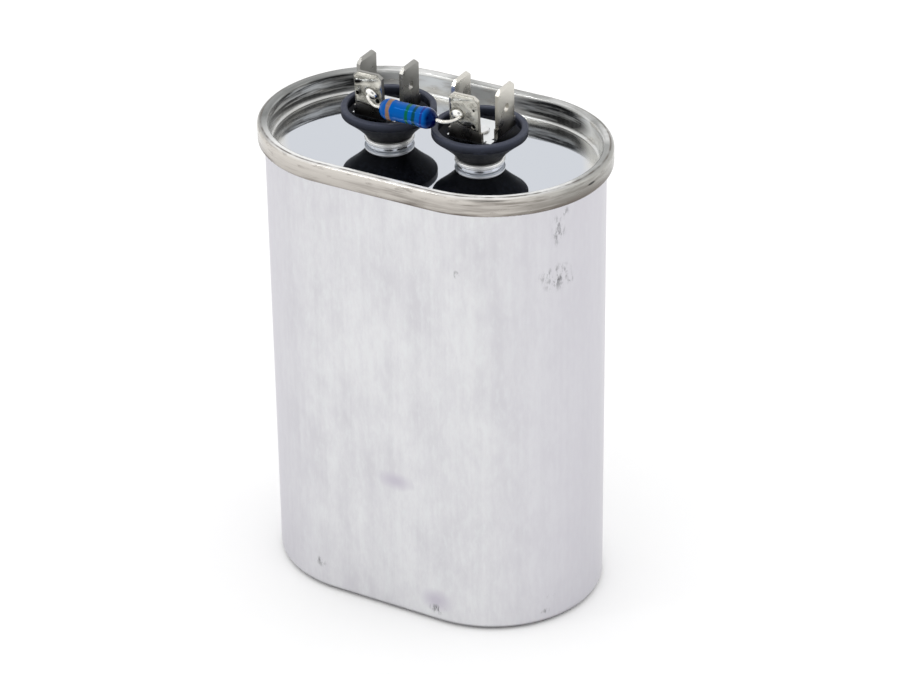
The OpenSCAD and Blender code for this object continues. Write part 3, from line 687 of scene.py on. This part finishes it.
solderLook = {
    "bright": tone(222, 220, 211),
    "grey": tone(158, 156, 148),
    "tin": tone(246, 246, 243),
    # painted shade in pits, in the valleys under the waves and round the joint
    "pitsAndShade": tone(14, 13, 12),
    "flux": tone(96, 82, 52),
    "blotch": 300,
    "fine": 2600,
    "greyToBright": (0.36, 0.62),
    "roughness": (0.16, 0.38),
    "bump": (0.01, 0.4),
    "columns": 110,
    "rows": 130,
    "halfWide": 3.1,
    "top": 7.85,
    "corner": 1.0,
    "edgeRound": 0.5,
    "coat": 0.22,
    "ripple": (0.13, 0.55),  # height, and waves per mm
    "fineRipple": (0.02, 2.2),
    "footRipple": (0.25, 2.5),
    "thinnest": (0.05, 0.04),  # of the coat, and in a pit
    "waveSlant": 0.22,
    "groove": (1.08, 0.12, 0.14),  # place and width round the joint, and depth
    "tinEdge": (0.9, 1.02),
    "ring": (0.98, 1.04, 1.06, 1.16),
    "ringShade": 0.75,
    "ringSide": (-0.3, 0.6),
    "pitDepth": 0.2,
    "pitSquash": 0.85,
    "pitSlope": (0.6, 1.1),
    "pitEdge": (0.72, 1.0),
    "fluxAmount": 0.9,
    "fluxHeight": (0.1, 0.55),
    "bladeX": {-1: -11.45, 1: 10.0},
    "bendY": -4.1,
    "bendZ": 102.5,
    "lean": 4.5,
    "toFace": (0.0, -1.2, 1.8),  # from the middle of the blade's bend to its outer face
    "offFace": 0.01,
    # foot: height at the left and right edge. lumps: x, height, reach, lift. waves: x, height,
    # half width, half height, depth. pits: x, height, reach. all in mm over the blade's shoulders
    "left": {
        "foot": (0.9, 0.5),
        "seed": 3.1,
        "waveShade": 5.5,
        "joint": {"place": (0.8, 3.7), "half": (1.35, 1.0), "turn": -35, "rise": 0.75},
        "lumps": [(-1.4, 1.9, 1.3, 0.28), (0.6, 5.2, 1.6, 0.16), (-1.0, 7.2, 2.2, 0.12)],
        "waves": [(-2.3, 5.7, 1.3, 0.45, 0.24), (0.6, 6.35, 1.9, 0.3, 0.12), (-1.9, 3.4, 0.5, 1.3, 0.16)],
        # the pit at 0.35, 1.7 is the lead's painted shadow
        "pits": [(-2.5, 3.1, 0.45), (2.05, 2.2, 0.55), (0.35, 1.7, 0.4)],
    },
    "right": {
        "foot": (2.1, 0.3),
        "seed": 8.7,
        "waveShade": 1.5,
        "joint": {"place": (-1.35, 3.6), "half": (1.3, 1.15), "turn": 10, "rise": 0.85},
        "lumps": [(1.2, 2.6, 0.9, 0.22), (0.4, 5.6, 1.8, 0.14), (2.1, 4.0, 1.2, 0.12)],
        "waves": [(0.3, 6.9, 2.4, 0.3, 0.14)],
        "pits": [(2.35, 5.1, 0.26), (2.1, 1.5, 0.45)],
    },
}


def makeSolderMetal(look):
    finish, tree, shader = newFinish("solderMetal", 0.25, 1.0)
    blotch = grain(tree, look["blotch"], detail=3.0, warp=0.4)
    fine = grain(tree, look["fine"])
    colour = blendColour(tree, band(tree, blotch, *look["greyToBright"]), look["grey"], look["bright"])
    for layer in ("tin", "flux", "pitsAndShade"):
        painted = tree.nodes.new("ShaderNodeAttribute")
        painted.attribute_name = layer
        colour = blendColour(tree, painted.outputs["Fac"], colour, look[layer])
    tree.links.new(colour, shader.inputs["Base Color"])
    tree.links.new(band(tree, blotch, *noiseSpan, *look["roughness"]), shader.inputs["Roughness"])
    bumpy(tree, shader, fine, look["bump"])
    return finish


solderMetal = makeSolderMetal(solderLook)


def smooth(low, high, value):
    t = min(1.0, max(0.0, (value - low) / (high - low)))
    return t * t * (3 - 2 * t)


def waveFar(wave, x, tall):
    # 1 on the outline of a wave, less inside it
    wx, wz, wide, high = wave[:4]
    return math.hypot((x - wx) / wide, (tall - wz - solderLook["waveSlant"] * (x - wx)) / high)


def coatHeight(look, x, tall):
    size, waves = solderLook["ripple"]
    fineSize, fineWaves = solderLook["fineRipple"]
    height = solderLook["coat"]
    height += size * noise.noise(Vector((x * waves, tall * waves, look["seed"])))
    height += fineSize * noise.noise(Vector((x * fineWaves, tall * fineWaves, look["seed"] + 5)))
    for lx, lz, reach, lift in look["lumps"]:
        far = math.hypot(x - lx, tall - lz) / reach
        height += lift * math.exp(-far * far)
    for wave in look["waves"]:
        far = waveFar(wave, x, tall)
        height -= wave[4] * math.exp(-far * far)
    return max(solderLook["thinnest"][0], height)


def jointFar(joint, x, tall):
    # 1 on the outline of the joint, less inside it
    turn = math.radians(joint["turn"])
    dx, dz = x - joint["place"][0], tall - joint["place"][1]
    along = dx * math.cos(turn) + dz * math.sin(turn)
    across = dz * math.cos(turn) - dx * math.sin(turn)
    return math.hypot(along / joint["half"][0], across / joint["half"][1])


def makeSolder(name, side, look, node):
    shape = bmesh.new()
    bmesh.ops.create_grid(shape, x_segments=solderLook["columns"], y_segments=solderLook["rows"], size=1.0)
    layers = {key: shape.verts.layers.float.new(key) for key in ("tin", "flux", "pitsAndShade")}
    top, halfWide, corner = solderLook["top"], solderLook["halfWide"], solderLook["corner"]
    joint = look["joint"]
    groovePlace, grooveWidth, grooveDepth = solderLook["groove"]
    ringIn, ringFull, ringFade, ringOut = solderLook["ring"]
    footSize, footWaves = solderLook["footRipple"]
    for vert in shape.verts:
        u, v = vert.co.x, (vert.co.y + 1) / 2
        leftFoot, rightFoot = look["foot"]
        foot = leftFoot + (rightFoot - leftFoot) * (u + 1) / 2
        foot += footSize * noise.noise(Vector((u * footWaves, look["seed"], 0.0)))
        tall = foot + v * (top - foot)
        x = u * (halfWide - max(0.0, tall - (top - corner)))
        toEdge = min((1 - abs(u)) * halfWide, tall - foot, top - tall)
        height = coatHeight(look, x, tall)
        far = jointFar(joint, x, tall)
        height -= grooveDepth * math.exp(-((far - groovePlace) / grooveWidth) ** 2)
        if far < 1:
            height = max(height, solderLook["coat"] + joint["rise"] * math.sqrt(1 - far * far))
        vert[layers["tin"]] = 1.0 - smooth(*solderLook["tinEdge"], far)
        # painted shade: a dark ring round the upper right of the joint, at its foot
        ring = smooth(ringIn, ringFull, far) * (1.0 - smooth(ringFade, ringOut, far))
        upRight = x - joint["place"][0] + tall - joint["place"][1]
        dark = solderLook["ringShade"] * ring * smooth(*solderLook["ringSide"], upRight)
        # painted shade in the valleys under the waves
        for wave in look["waves"]:
            near = waveFar(wave, x, tall)
            dark = max(dark, look["waveShade"] * wave[4] * math.exp(-near * near))
        # the pits are dents, painted dark as well: painted shade
        for px, pz, reach in look["pits"]:
            hole = math.hypot(x - px, (tall - pz) * solderLook["pitSquash"]) / reach
            height -= solderLook["pitDepth"] * (1.0 - smooth(*solderLook["pitSlope"], hole))
            dark = max(dark, 1.0 - smooth(*solderLook["pitEdge"], hole))
        vert[layers["pitsAndShade"]] = dark
        flux = 1.0 - smooth(*solderLook["fluxHeight"], tall - foot)
        vert[layers["flux"]] = solderLook["fluxAmount"] * flux
        swell = min(1.0, max(0.0, toEdge / solderLook["edgeRound"]))
        thick = max(solderLook["thinnest"][1], height)
        vert.co = Vector((x, -thick * math.sqrt(swell) - solderLook["offFace"], tall))
    rimEdges = [e for e in shape.edges if e.is_boundary]
    pulled = bmesh.ops.extrude_edge_only(shape, edges=rimEdges)
    back = [g for g in pulled["geom"] if isinstance(g, bmesh.types.BMVert)]
    for vert in back:
        vert.co.y = 0.0
    bmesh.ops.holes_fill(shape, edges=[e for e in shape.edges if e.is_boundary], sides=0)
    toFace = Matrix.Translation(solderLook["toFace"])
    lean = Matrix.Rotation(math.radians(solderLook["lean"]), 4, "X")
    bend = Matrix.Translation((solderLook["bladeX"][side], solderLook["bendY"], solderLook["bendZ"]))
    place = Matrix.Scale(mm, 4) @ bend @ lean @ toFace
    bmesh.ops.transform(shape, matrix=place, verts=shape.verts)
    bmesh.ops.remove_doubles(shape, verts=shape.verts, dist=0.001 * mm)
    bmesh.ops.recalc_face_normals(shape, faces=shape.faces)
    mesh = bpy.data.meshes.new(name)
    shape.to_mesh(mesh)
    shape.free()
    mesh.materials.append(solderMetal)
    for face in mesh.polygons:
        face.use_smooth = len(face.vertices) == 4
    solder = bpy.data.objects.new(name, mesh)
    bpy.context.scene.collection.objects.link(solder)
    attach(solder, "root")
    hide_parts(node)


makeSolder("left_solder_coat", -1, solderLook["left"], "left_solder")
makeSolder("right_solder_coat", 1, solderLook["right"], "right_solder")
print("solder made")

studio = {
    "floorSize": 4.0,
    "floorColour": tone(255, 255, 255),
    "floorGlow": 0.10,
    "glowStrength": 1.0,
    "sky": (1.0, 1.0, 1.0, 1.0),  # lights the part
    "white": (1.0, 1.0, 1.0, 1.0),  # what the camera and the metal see
    "shade": (0.03, 0.03, 0.035, 1.0),  # a dark area that only the metal shows
    "shadeFrom": (0.36, -0.80, 0.42),
    "shadeWidth": (0.90, 0.97),
    "lamps": {  # place and size in m, power in W
        "key": ((-0.35, -0.55, 1.15), 2.4, 3.2),
        "glint": ((-0.43, -0.46, 0.88), 0.07, 0.32),
        "fill": ((0.75, 0.30, 0.60), 0.6, 0.6),
    },
    "aim": (0.0, 0.0, 0.05),
}
viewpoint = {
    "sensor": 36.0,
    "lens": 135.14,
    "clip": (0.05, 20.0),
    "place": (0.29959, -0.52006, 0.39411),
    "right": (0.871988, 0.489374, -0.012271),
    "up": (-0.23277, 0.436552, 0.869046),
    "back": (0.430646, -0.754941, 0.494579),
}


def seenWhite(tree):
    # 1 for the rays that see the background: the camera's, and those of metal and glass
    path = tree.nodes.new("ShaderNodeLightPath")
    mirrored = plain(tree, "MAXIMUM", path.outputs["Is Glossy Ray"], path.outputs["Is Transmission Ray"])
    return plain(tree, "MAXIMUM", path.outputs["Is Camera Ray"], mirrored), mirrored


def makeFloor():
    shape = bmesh.new()
    bmesh.ops.create_grid(shape, x_segments=1, y_segments=1, size=studio["floorSize"] / 2)
    mesh = bpy.data.meshes.new("floor")
    shape.to_mesh(mesh)
    shape.free()
    floor = bpy.data.objects.new("floor", mesh)
    bpy.context.scene.collection.objects.link(floor)
    finish = bpy.data.materials.new("floorPaper")
    finish.use_nodes = True
    tree = finish.node_tree
    tree.nodes.clear()
    diffuse = tree.nodes.new("ShaderNodeBsdfDiffuse")
    diffuse.inputs["Color"].default_value = studio["floorColour"]
    white = tree.nodes.new("ShaderNodeEmission")
    white.inputs["Strength"].default_value = studio["glowStrength"]
    amount = plain(tree, "MULTIPLY", seenWhite(tree)[0], studio["floorGlow"])
    mixed = tree.nodes.new("ShaderNodeMixShader")
    tree.links.new(amount, mixed.inputs[0])
    tree.links.new(diffuse.outputs[0], mixed.inputs[1])
    tree.links.new(white.outputs[0], mixed.inputs[2])
    out = tree.nodes.new("ShaderNodeOutputMaterial")
    tree.links.new(mixed.outputs[0], out.inputs["Surface"])
    mesh.materials.append(finish)


def makeWorld():
    world = bpy.data.worlds.new("studioSky")
    bpy.context.scene.world = world
    world.use_nodes = True
    tree = world.node_tree
    tree.nodes.clear()
    coords = tree.nodes.new("ShaderNodeTexCoord")
    toward = tree.nodes.new("ShaderNodeVectorMath")
    toward.operation = "DOT_PRODUCT"
    toward.inputs[1].default_value = Vector(studio["shadeFrom"]).normalized()
    tree.links.new(coords.outputs["Generated"], toward.inputs[0])
    seen, mirrored = seenWhite(tree)
    dark = band(tree, toward.outputs["Value"], *studio["shadeWidth"])
    dark = sums(tree, "MULTIPLY", dark, mirrored)
    colour = blendColour(tree, seen, studio["sky"], studio["white"])
    colour = blendColour(tree, dark, colour, studio["shade"])
    light = tree.nodes.new("ShaderNodeBackground")
    tree.links.new(colour, light.inputs["Color"])
    out = tree.nodes.new("ShaderNodeOutputWorld")
    tree.links.new(light.outputs[0], out.inputs["Surface"])


def makeLamp(name, place, size, power):
    data = bpy.data.lights.new(name, "AREA")
    data.shape = "RECTANGLE"
    data.size = size
    data.size_y = size
    data.energy = power
    lamp = bpy.data.objects.new(name, data)
    bpy.context.scene.collection.objects.link(lamp)
    lamp.location = place
    aim = Vector(studio["aim"]) - Vector(place)
    lamp.rotation_euler = aim.to_track_quat("-Z", "Y").to_euler()


def makeCamera():
    data = bpy.data.cameras.new("camera")
    data.sensor_width = viewpoint["sensor"]
    data.lens = viewpoint["lens"]
    data.clip_start, data.clip_end = viewpoint["clip"]
    camera = bpy.data.objects.new("camera", data)
    bpy.context.scene.collection.objects.link(camera)
    axes = [Vector(viewpoint[name]) for name in ("right", "up", "back")]
    turn = Matrix(axes).transposed().to_4x4()
    camera.matrix_world = Matrix.Translation(viewpoint["place"]) @ turn
    bpy.context.scene.camera = camera


makeFloor()
makeWorld()
for name, (place, size, power) in studio["lamps"].items():
    makeLamp(name, place, size, power)
makeCamera()
bpy.context.scene.view_settings.view_transform = "Standard"
print("studio set")
